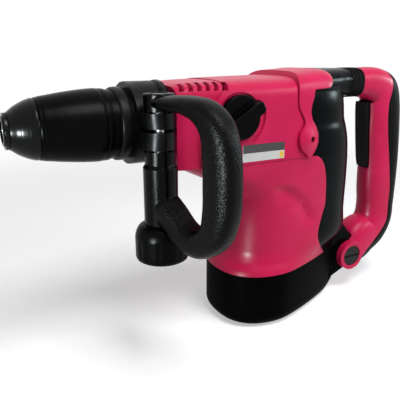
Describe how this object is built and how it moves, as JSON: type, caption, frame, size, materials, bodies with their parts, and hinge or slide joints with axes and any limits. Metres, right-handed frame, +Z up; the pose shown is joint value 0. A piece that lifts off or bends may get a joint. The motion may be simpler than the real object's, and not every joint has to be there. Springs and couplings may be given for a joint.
{
  "type": "rotary hammer",
  "caption": "Corded rotary hammer with an upright motor, a quick-change chuck, a swinging D-shaped side handle, a mode knob and a sprung rear handle.",
  "frame": {"origin": "middle of the flat standing face under the motor", "axes": "+X along the hammer axis towards the bit, +Y to the operator's left, +Z up"},
  "size_m": [0.4628, 0.1915, 0.2679],
  "materials": {
    "crimson_plastic": "moulded, light grain",
    "black_plastic": "moulded glass-filled nylon, fine grain",
    "black_rubber": "soft moulded elastomer",
    "bright_steel": "ground and hardened",
    "dark_steel": "black finished",
    "black_alloy": "black coated casting",
    "cast_alloy": "die cast",
    "winding_copper": "enamelled copper wire",
    "brush_carbon": "pressed carbon"
  },
  "bodies": {
    "housing": {"barrel": "black_alloy", "front_bearing": "bright_steel", "spindle_seal": "black_rubber", "gear_plate": "cast_alloy", "gear_housing_left": "crimson_plastic", "gear_housing_right": "crimson_plastic", "motor_housing": "crimson_plastic", "base_cap": "black_plastic", "rear_cover": "crimson_plastic", "rear_boot": "black_rubber", "upper_bearing": "bright_steel", "lower_bearing": "bright_steel", "stator_core": "dark_steel", "field_coil_left": "winding_copper", "field_coil_right": "winding_copper", "brush_holder": "black_plastic", "brush_front": "brush_carbon", "brush_rear": "brush_carbon", "pivot_pin": "dark_steel", "base_screw_1": "dark_steel", "base_screw_2": "dark_steel", "base_screw_3": "dark_steel", "cover_screw_left": "dark_steel", "cover_screw_right": "dark_steel", "handle_bellows": "black_rubber", "handle_spring": "bright_steel"},
    "spindle": {"hammer_tube": "bright_steel", "tool_holder": "bright_steel", "holder_ring": "dark_steel", "locking_roller_upper": "bright_steel", "locking_roller_lower": "bright_steel", "dust_cap": "black_rubber", "bevel_gear": "bright_steel", "sleeve_spring": "bright_steel"},
    "sleeve": {"locking_sleeve": "black_plastic"},
    "lay_shaft": {"bevel_pinion": "bright_steel", "intermediate_gear": "bright_steel"},
    "armature": {"armature_shaft": "bright_steel", "armature_core": "winding_copper", "cooling_fan": "black_plastic"},
    "crank": {"crank_shaft": "bright_steel", "crank_gear": "bright_steel"},
    "piston": {"piston": "cast_alloy", "wrist_pin": "bright_steel"},
    "rod": {"connecting_rod": "cast_alloy"},
    "ram": {"ram": "bright_steel"},
    "beat_piece": {"beat_piece": "bright_steel"},
    "side_clamp": {"clamp_upper": "dark_steel", "clamp_lower": "dark_steel", "clamp_pin": "bright_steel"},
    "side_handle": {"side_handle": "black_plastic", "clamp_bolt": "bright_steel"},
    "clamp_knob": {"clamp_knob": "black_plastic"},
    "mode_knob": {"mode_knob": "black_plastic"},
    "rear_handle": {"rear_handle_left": "crimson_plastic", "rear_handle_right": "crimson_plastic", "rear_handle_grip": "black_rubber", "switch": "black_plastic", "cord_inlet_bush": "black_rubber"},
    "trigger": {"trigger": "black_plastic"}
  },
  "joints": [
    {"name": "spindle_turn", "type": "hinge", "parent": "housing", "child": "spindle", "pos_m": [0, 0, 0.222], "axis": [1, 0, 0], "continuous": true},
    {"name": "sleeve_pull", "type": "slide", "parent": "spindle", "child": "sleeve", "axis": [-1, 0, 0], "range_m": [0, 0.006], "stiffness_N_per_m": 800, "springref_m": -0.004, "deforming": ["sleeve_spring"]},
    {"name": "lay_shaft_turn", "type": "hinge", "parent": "housing", "child": "lay_shaft", "pos_m": [0.032, 0, 0.185], "axis": [0, 0, 1], "continuous": true},
    {"name": "armature_turn", "type": "hinge", "parent": "housing", "child": "armature", "pos_m": [0, 0, 0.1], "axis": [0, 0, 1], "continuous": true},
    {"name": "crank_turn", "type": "hinge", "parent": "housing", "child": "crank", "pos_m": [-0.04, 0, 0.2], "axis": [0, 0, 1], "continuous": true},
    {"name": "piston_stroke", "type": "slide", "parent": "housing", "child": "piston", "axis": [1, 0, 0], "range_m": [-0.026, 0]},
    {"name": "rod_swing", "type": "hinge", "parent": "piston", "child": "rod", "pos_m": [0.028, 0, 0.222], "axis": [0, 0, 1], "range_deg": [-13.7, 13.7]},
    {"name": "ram_stroke", "type": "slide", "parent": "housing", "child": "ram", "axis": [1, 0, 0], "range_m": [-0.0157, 0.0077]},
    {"name": "beat_piece_stroke", "type": "slide", "parent": "housing", "child": "beat_piece", "axis": [1, 0, 0], "range_m": [-0.002, 0.01]},
    {"name": "clamp_turn", "type": "hinge", "parent": "housing", "child": "side_clamp", "pos_m": [0.141, 0, 0.222], "axis": [1, 0, 0], "continuous": true},
    {"name": "side_handle_swing", "type": "hinge", "parent": "side_clamp", "child": "side_handle", "pos_m": [0.141, 0.05, 0.222], "axis": [0, 0, 1], "range_deg": [-75, 5]},
    {"name": "clamp_knob_turn", "type": "hinge", "parent": "side_handle", "child": "clamp_knob", "pos_m": [0.141, 0.05, 0.12], "axis": [0, 0, 1], "continuous": true},
    {"name": "mode_knob_turn", "type": "hinge", "parent": "housing", "child": "mode_knob", "pos_m": [0.06, 0.05, 0.227], "axis": [0, 1, 0], "range_deg": [-75, 0]},
    {"name": "rear_handle_give", "type": "hinge", "parent": "housing", "child": "rear_handle", "pos_m": [-0.1246, 0, 0.0439], "axis": [0, 1, 0], "range_deg": [0, 2.5], "stiffness_Nm_per_rad": 60, "springref_deg": -1.15, "deforming": ["handle_bellows", "handle_spring"]},
    {"name": "trigger_pull", "type": "hinge", "parent": "rear_handle", "child": "trigger", "pos_m": [-0.158, 0, 0.222], "axis": [0, 1, 0], "range_deg": [0, 5], "stiffness_Nm_per_rad": 0.3, "springref_deg": -11.46}
  ],
  "couplings": [
    {"joint": "lay_shaft_turn", "follows": "spindle_turn", "ratio": 3},
    {"joint": "armature_turn", "follows": "spindle_turn", "ratio": -9},
    {"joint": "crank_turn", "follows": "spindle_turn", "ratio": 2.25}
  ]
}
